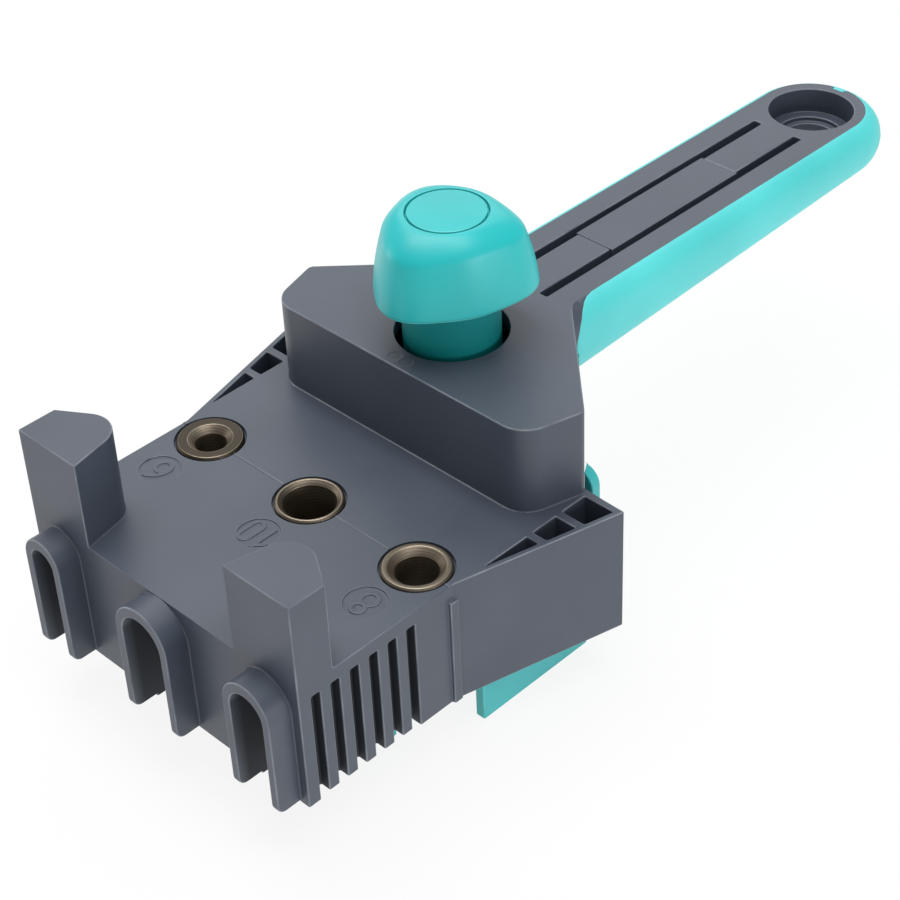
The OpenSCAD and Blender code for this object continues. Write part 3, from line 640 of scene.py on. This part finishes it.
def rounded_copy(node, width, material, name=None, calm=None, segments=3, flat=True,
                 pale=None, cuts=()):
    """Stand a copy with rounded edges in for a CAD node; width and cuts are millimetres."""
    name = name or node + "_rounded"
    bm = joined_copy(node)
    count = weigh_edges(bm, width * MM, calm)
    bm = bevelled(bm, width * MM, segments)
    for y in cuts:
        bmesh.ops.bisect_plane(bm, geom=list(bm.verts) + list(bm.edges) + list(bm.faces),
                               dist=MERGE, plane_co=(0, y * MM, 0), plane_no=(0, 1, 0))
    ragged = [face for face in bm.faces if len(face.verts) > MANY_CORNERS
              or (len(face.verts) > 4 and folded(face))]
    for face in ragged:
        refill(bm, face)
    rubbed = mark_worn_and_lit(bm, pale)
    mark_sharp(bm)
    vertices = len(bm.verts)
    piece = place_piece(bm, name, node, material)
    if flat:
        even = piece.modifiers.new("flat_faces", "WEIGHTED_NORMAL")
        even.mode, even.weight = "FACE_AREA", 50
        even.keep_sharp = even.use_face_influence = True
    print(f"{name}: {count} edges rounded, {vertices} vertices, {len(ragged)} faces filled"
          f" again, {rubbed} worn")


# %% [markdown]
# ## The block, the housing and the handle's core
# This is the largest moulding: a ribbed block with a comb on each side, two posts, the housing
# over the gears and the core of the handle. Its shape is right in the CAD, so it is copied and
# rounded. Two kinds of edges stay as they are: the seats of the steel bushes, and the seam
# where the soft grip meets the core, which would open into a groove. Two thin lines are pale
# in the photograph, so they get a painted highlight: some of the lighter edge colour as well.

# %% Block and housing
GRIP_HALF, HANDLE_NEAR, SEAT_REACH = 14.9, 50, 7.6
PLATE_TOP, FOOT_Y, FOOT_HALF = 27.0, 22.1, 31
LINE_LOW, LINE_REACH, LINE_HIGHLIGHT, FOOT_HIGHLIGHT = 0.05, 0.3, 0.3, 0.7
SEAM_DEEP, SEAM_REACH = 0.1, 0.15
handle_end = box_mm("grip_sleeve")[1][1] - GRIP_HALF
core_half = body_high[1] - handle_end


def near_seam(point):
    """The outline of the core on top of the handle: two straight sides and a half circle."""
    reach = abs(point.x) if point.y < handle_end else math.hypot(point.x, point.y - handle_end)
    on_top = point.z > body_high[2] - SEAM_DEEP and point.y > HANDLE_NEAR
    return on_top and abs(reach - core_half) < SEAM_REACH


def near_seat(point):
    """Close to the axis of a bush, where its seat is."""
    return any(math.hypot(point.x - place["x"], point.y) < SEAT_REACH
               for place in bush_places.values())


def painted_highlight_line(point, inner):
    """Painted highlight on the raised line through the bushes and at the foot of the housing's
    front wall.
    """
    on_line = PLATE_TOP + LINE_LOW < point.z < PLATE_TOP + LINE_REACH
    if on_line and abs(point.y) < LINE_REACH:
        return LINE_HIGHLIGHT
    foot = abs(point.z - PLATE_TOP) < LINE_REACH and abs(point.y - FOOT_Y) < LINE_REACH
    return FOOT_HIGHLIGHT if inner and foot and abs(point.x) < FOOT_HALF else 0.0


rounded_copy("jig_body", 0.3, body_grey, "block_and_handle_core",
             lambda point: near_seam(point) or near_seat(point), pale=painted_highlight_line)
rounded_copy("handle_panel", 0.08, body_grey, "handle_panel_rounded")

# %% [markdown]
# ## Jaws, carrier, cover and racks
# The jaws slide under the block and are mostly hidden; one ear and one side plate show. The
# inner parts can only be seen from below, but they get the same care, because a reader will
# turn the model over.

# %% Jaws and drive
rounded_copy("rear_jaw", 0.3, jaw_teal, "rear_jaw_tray")
rounded_copy("front_jaw", 0.3, jaw_teal, "front_jaw_tray")
rounded_copy("gear_carrier", 0.3, carrier_grey)
rounded_copy("mechanism_cover", 0.35, cover_grey)
for toothed, width in (("rear_rack", 0.12), ("front_rack", 0.12), ("drive_pinion", 0.10)):
    rounded_copy(toothed, width, gear_white, segments=2)
for screws in ("cover_screws", "front_rack_screws", "rear_rack_screws", "knob_screw"):
    rounded_copy(screws, 0.14, screw_steel, segments=2)

# %% [markdown]
# ## The soft grip
# The grip is moulded over the core of the handle. It wraps the sides and the underside and
# leaves the flat top free, with one tab that keys into the core at the far end. Nearly all of
# it is curved, so it takes plain smooth shading and no flattening of faces. Its facets are as
# long as the handle, and a tilted normal at one end would streak them over their whole length:
# cuts across the grip, close together at the near end, keep such a tilt where it belongs.

# %% Grip
grip_start = box_mm("grip_sleeve")[0][1]
near_steps = [1.5 + step for step in range(9)] + [11]
far_steps = [20 + 12 * step for step in range(6)]
grip_cuts = [grip_start + step for step in near_steps + far_steps] + [handle_end - 1]
rounded_copy("grip_sleeve", 0.5, grip_teal, "soft_grip", near_seam, flat=False, cuts=grip_cuts)
print("grip cut across at", len(grip_cuts), "places")

# %% [markdown]
# ## Turned pieces
# A bush, a washer and the knob's cap are turned parts, and a lathe is what `spin` imitates: a
# profile is drawn beside the axis and swept round it. A profile that ends on the axis is left
# open there and its end points merge into one pole. `soften` rounds the rings that stay sharp.

# %% The lathe
STEPS = 96


def turned(profile, x, y, closed=True):
    """Sweep pairs of radius and height, in millimetres, round an upright axis."""
    bm = bmesh.new()
    verts = [bm.verts.new(((x + r) * MM, y * MM, z * MM)) for r, z in profile]
    pairs = list(zip(verts, verts[1:]))
    if closed:
        pairs.append((verts[-1], verts[0]))
    edges = [bm.edges.new(pair) for pair in pairs]
    bmesh.ops.spin(bm, geom=verts + edges, cent=(x * MM, y * MM, 0), axis=(0, 0, 1),
                   angle=math.tau, steps=STEPS, use_merge=True)
    bmesh.ops.remove_doubles(bm, verts=bm.verts, dist=1e-7)
    bmesh.ops.recalc_face_normals(bm, faces=bm.faces)
    return bm


def soften(bm, offset, segments=3, limit=30, keep=None):
    """Bevel edges steeper than `limit` degrees and mark the middle of each bevel as rubbed and
    lit by a painted highlight.
    """
    worn_and_lit_layer = bm.verts.layers.float.get("worn") or bm.verts.layers.float.new("worn")
    edges = [edge for edge in bm.edges if len(edge.link_faces) == 2
             and edge.calc_face_angle(0) > math.radians(limit) and (keep is None or keep(edge))]
    made = bmesh.ops.bevel(bm, geom=edges, offset=offset * MM, offset_type="OFFSET",
                           segments=segments, profile=0.5, affect="EDGES", material=-1,
                           clamp_overlap=True)
    rounded = set(made["faces"])
    for vert in made["verts"]:
        if all(face in rounded for face in vert.link_faces):
            vert[worn_and_lit_layer] = 1.0
    return len(edges)


print("a profile is swept round in", STEPS, "steps")

# %% [markdown]
# ### Bushes
# Each bush is a steel tube with a bevelled rim that stands a hair above the plate, and a cone
# that leads the drill into the bore. The rounded rims carry the bright circles that the eye
# looks for in metal.

# %% Bushes
RIM_BEVEL = 0.4
for bush_name, place in bush_places.items():
    top, outer, inner = place["top"], place["od"] / 2, place["bore"] / 2
    profile = [(inner, 0), (outer, 0), (outer, top - RIM_BEVEL), (outer - RIM_BEVEL, top),
               (inner + place["lead"], top), (inner, top - place["lead"])]
    bm = turned(profile, place["x"], 0)
    rims = soften(bm, 0.1, segments=2, limit=25)
    place_piece(bm, bush_name + "_turned", bush_name, bush_steels[bush_name])
    print(bush_name, "bore", place["bore"], "rims", rims)

# %% [markdown]
# ### Washers
# A steel thrust washer and a rubber friction washer sit on the knob's shaft. The rubber one is
# what holds the jaws where they are set.

# %% Washers
WASHER_HOLE = 6.3
for washer, finish in (("thrust_washer", screw_steel), ("friction_washer", washer_rubber)):
    low, high = box_mm(washer)
    bm = turned([(WASHER_HOLE, low[2]), (high[0], low[2]), (high[0], high[2]),
                 (WASHER_HOLE, high[2])], 0, knob_y)
    soften(bm, 0.12, segments=2)
    place_piece(bm, washer + "_turned", washer, finish)
    print(washer, "thickness", round(high[2] - low[2], 2))

# %% [markdown]
# ## The knob
# The knob has three soft lobes for the fingers at its rim, which fade into a round top. A
# radius that swings three times round the circle draws them, and a smaller swing of six
# flattens the hollows between them. A level counts from 0 at the rim to 1 at the top: up to
# the shoulder the wall is drawn in a little, and above it the lobes roll over into the circle
# round the cap.

# %% Lobes
KNOB_R, LOBES, FINE_LOBES, LOBE_TURN = 14.9, 0.082, 0.02, 35
SHOULDER, DRAWN, DRAWN_CURVE, CROWN_CURVE, TOP_R = 0.74, 0.14, 1.6, 1.35, 8.15


def lobe(angle):
    turn = angle - math.radians(LOBE_TURN)
    return 1 + LOBES * math.cos(3 * turn) + FINE_LOBES * math.cos(6 * turn)


def lobed(level, inset=0.0):
    """A function from angle to radius at this level."""
    drawn = 1 - DRAWN * min(level / SHOULDER, 1) ** DRAWN_CURVE
    over = min(max(level - SHOULDER, 0) / (1 - SHOULDER), 1)
    mix = 1 - (1 - over ** CROWN_CURVE) ** (1 / CROWN_CURVE)
    return lambda angle: KNOB_R * lobe(angle) * drawn * (1 - mix) + TOP_R * mix - inset


def plain(radius):
    return lambda angle: radius


print("knob reach", round(KNOB_R * lobe(math.radians(LOBE_TURN)), 2), "mm")

# %% [markdown]
# The knob could be carved from a cylinder, but a stack of rings is simpler: each ring is
# extruded from the one before and its points are moved in or out along their own direction, so
# the angle of every point stays the same. The profile runs up the stem, under the hollow rim,
# over the outside and down into the seat of the cap, and the two ends are bridged inside.

# %% Rings of the knob
STEM_R, SEAT_R, SOCKET_R, SCREW_R = 9.25, 7.75, 4.8, 2.05
WALL, HOLLOW, SEAT_DEEP, HEAD_DEEP, WEB_DEEP = 2.2, 5, 2, 6, 9
INNER_LEVELS = (0.34, 0.17, 0.0)
LEVELS = (0.0, 0.05, 0.12, 0.2, 0.3, 0.4, 0.5, 0.6, 0.68, 0.74, 0.77, 0.8, 0.83, 0.86, 0.89,
          0.915, 0.935, 0.955, 0.97, 0.985, 1.0)


def next_ring(bm, ring, radius_at, z):
    """Extrude a ring and move its new points to this radius and height."""
    made = bmesh.ops.extrude_edge_only(bm, edges=ring)["geom"]
    verts = {item for item in made if isinstance(item, bmesh.types.BMVert)}
    for vert in verts:
        angle = math.atan2(vert.co.y, vert.co.x)
        r = radius_at(angle) * MM
        vert.co = (r * math.cos(angle), r * math.sin(angle), z * MM)
    return [item for item in made if isinstance(item, bmesh.types.BMEdge)
            and item.verts[0] in verts and item.verts[1] in verts]


ceiling = rim_z + HOLLOW
rings = [(plain(STEM_R), ceiling)]
rings += [(lobed(level, WALL), rim_z + HEAD_HIGH * level) for level in INNER_LEVELS]
rings += [(lobed(level), rim_z + HEAD_HIGH * level) for level in LEVELS]
rings += [(plain(radius), z) for radius, z in (
    (SEAT_R, top_z), (SEAT_R, top_z - SEAT_DEEP), (SOCKET_R, top_z - SEAT_DEEP),
    (SOCKET_R, top_z - HEAD_DEEP), (SCREW_R, top_z - HEAD_DEEP), (SCREW_R, top_z - WEB_DEEP),
    (SOCKET_R, top_z - WEB_DEEP), (SOCKET_R, knob_low[2]))]
bm = bmesh.new()
bmesh.ops.create_circle(bm, segments=120, radius=STEM_R * MM,
                        matrix=Matrix.Translation((0, 0, knob_low[2] * MM)))
first = list(bm.edges)
ring = first
for radius_at, z in rings:
    ring = next_ring(bm, ring, radius_at, z)
bmesh.ops.bridge_loops(bm, edges=first + ring)
bmesh.ops.recalc_face_normals(bm, faces=bm.faces)
print("knob:", len(bm.verts), "vertices in", len(rings) + 1, "rings")

# %% [markdown]
# The sharp edges at three heights get a bevel: the rim under the fingers, the top round the
# cap and the corner of the hollow. The knob is built round the Z axis and moved to its place
# last.

# %% Round the knob and seat it
def at_height(z, reach):
    return lambda edge: all(abs(vert.co.z / MM - z) < reach for vert in edge.verts)


soften(bm, 0.55, segments=4, keep=at_height(rim_z, reach=0.3))
soften(bm, 0.22, segments=2, keep=at_height(top_z, reach=0.05))
soften(bm, 0.5, segments=2, keep=at_height(ceiling, reach=0.2))
bmesh.ops.translate(bm, vec=(0, knob_y * MM, 0), verts=bm.verts)
mark_sharp(bm)
place_piece(bm, "three_lobed_knob", "clamp_knob", knob_teal)
print("knob box", [round(v, 1) for v in knob_low], [round(v, 1) for v in knob_high])

# %% [markdown]
# ### Cap
# A round cap closes the knob's top. A narrow groove stays open round it, which reads as a thin
# dark circle from above.

# %% Cap
CAP_R, GROOVE_R, GROOVE_DEEP = 7.7, 7.3, 1
bm = turned([(0, top_z - SEAT_DEEP), (CAP_R, top_z - SEAT_DEEP), (CAP_R, top_z - GROOVE_DEEP),
             (GROOVE_R, top_z - GROOVE_DEEP), (GROOVE_R, top_z), (0, top_z)],
            0, knob_y, closed=False)
soften(bm, 0.22, segments=3)
mark_sharp(bm)
cap = place_piece(bm, "knob_cap_disc", "knob_cap", knob_teal)
print("cap faces", len(cap.data.polygons))

# %% [markdown]
# ## Floor
# The photograph is a product shot on white. The floor shows as white to the camera and to
# shiny surfaces, by a mix on Light Path. For all other light it is matt white with a weak glow,
# so that it throws light up at the block's front and keeps a soft shadow.

# %% White paper
FLOOR_HALF, FLOOR_GAP = 3, 0.0002
GLOW_SEEN, GLOW_HIDDEN = 1.0, 2.2
SHARE_SEEN, SHARE_HIDDEN = 0.88, 0.26
floor_mesh = bmesh.new()
bmesh.ops.create_grid(floor_mesh, x_segments=1, y_segments=1, size=FLOOR_HALF,
                      matrix=Matrix.Translation((0, 0, cad_box[0][2] - FLOOR_GAP)))
floor_data = bpy.data.meshes.new("studio_floor")
floor_mesh.to_mesh(floor_data)
floor_mesh.free()
floor = bpy.data.objects.new("studio_floor", floor_data)
bpy.context.scene.collection.objects.link(floor)
paper = Finish("white_paper")
camera_ray, glossy_ray, clear_ray = [
    paper.node("ShaderNodeLightPath", {}, {}, output=f"Is {kind} Ray")
    for kind in ("Camera", "Glossy", "Transmission")]
seen = camera_ray + glossy_ray + clear_ray
paper.set(Base_Color=tone((0.86, 0.86, 0.86)), Roughness=0.9)
glow = paper.node("ShaderNodeEmission", {},
                  {"Color": tone((1, 1, 1)),
                   "Strength": GLOW_HIDDEN + seen * (GLOW_SEEN - GLOW_HIDDEN)})
share = SHARE_HIDDEN + seen * (SHARE_SEEN - SHARE_HIDDEN)
matt = Wire(paper, paper.shader.outputs[0])
mixed = paper.node("ShaderNodeMixShader", {}, [share, matt, glow])
paper.feed(paper.tree.nodes["Material Output"].inputs["Surface"], mixed)
floor_data.materials.append(paper.material)
print("floor at z", round(cad_box[0][2], 4))

# %% [markdown]
# ## Light
# A wide lamp stands at the back, just where the top faces mirror it into the camera: that
# gives the pale sheen on dark plastic. A second hangs overhead, and two small ones stand low,
# one at the front left and one at the right. The rest is left to the floor and to a white
# world, which is brighter to the camera than to the jig.

# %% Lamps and world
MIDDLE = (0, 0.05, 0.02)
WORLD_SEEN, WORLD_HIDDEN = 1.0, 0.27


def soft_lamp(name, place, size, power):
    """A rectangular lamp that points at the middle of the jig."""
    data = bpy.data.lights.new(name, "AREA")
    data.shape, data.size, data.size_y = "RECTANGLE", size[0], size[1]
    data.energy = power
    lamp = bpy.data.objects.new(name, data)
    bpy.context.scene.collection.objects.link(lamp)
    lamp.location = place
    lamp.rotation_euler = (Vector(MIDDLE) - Vector(place)).to_track_quat("-Z", "Y").to_euler()


soft_lamp("back_softbox", place=(-0.6, 0.65, 0.70), size=(1.3, 1.0), power=5.2)
soft_lamp("top_softbox", place=(0.0, 0.02, 1.1), size=(1.5, 0.5), power=12.0)
soft_lamp("left_softbox", place=(-0.95, -0.42, 0.22), size=(0.5, 0.5), power=1.9)
soft_lamp("right_softbox", place=(1.0, 0.05, 0.17), size=(0.6, 0.25), power=2.6)
world = bpy.data.worlds.new("white_studio")
bpy.context.scene.world = world
world.use_nodes = True
tree = world.node_tree
around = tree.nodes["Background"]
around.inputs["Color"].default_value = tone((1, 1, 1))
rays = tree.nodes.new("ShaderNodeLightPath")
brightness = tree.nodes.new("ShaderNodeMapRange")
brightness.inputs["To Min"].default_value = WORLD_HIDDEN
brightness.inputs["To Max"].default_value = WORLD_SEEN
tree.links.new(rays.outputs["Is Camera Ray"], brightness.inputs["Value"])
tree.links.new(brightness.outputs["Result"], around.inputs["Strength"])

# %% [markdown]
# ## The camera
# The camera was fitted to the straight edges of the block in the photograph: it stands in
# front, to the right and above, with a long lens. Its three axes are written as a matrix, so
# nothing has to be aimed.

# %% Camera
right = Vector((0.7136056388, 0.6995476764, -0.0374171184))
down = Vector((0.4057100307, -0.4562250636, -0.7919962515))
ahead = Vector((-0.5711097646, 0.5499924907, -0.6093782872))
pose = Matrix([right, -down, -ahead]).transposed().to_4x4()
pose.translation = Vector((239.1916, -194.5574, 273.0640)) * MM
camera = bpy.data.objects.new("studio_camera", bpy.data.cameras.new("studio_camera"))
bpy.context.scene.collection.objects.link(camera)
camera.matrix_world = pose
camera.data.lens = 87.18
camera.data.sensor_width = 36
camera.data.clip_start = 0.01
bpy.context.scene.camera = camera
bpy.context.scene.view_settings.view_transform = "Standard"
print("camera at", [round(v, 3) for v in camera.location])

# %% [markdown]
# ## Size
# Rounding only takes material away, so the dressed model must lie inside the box of the CAD.
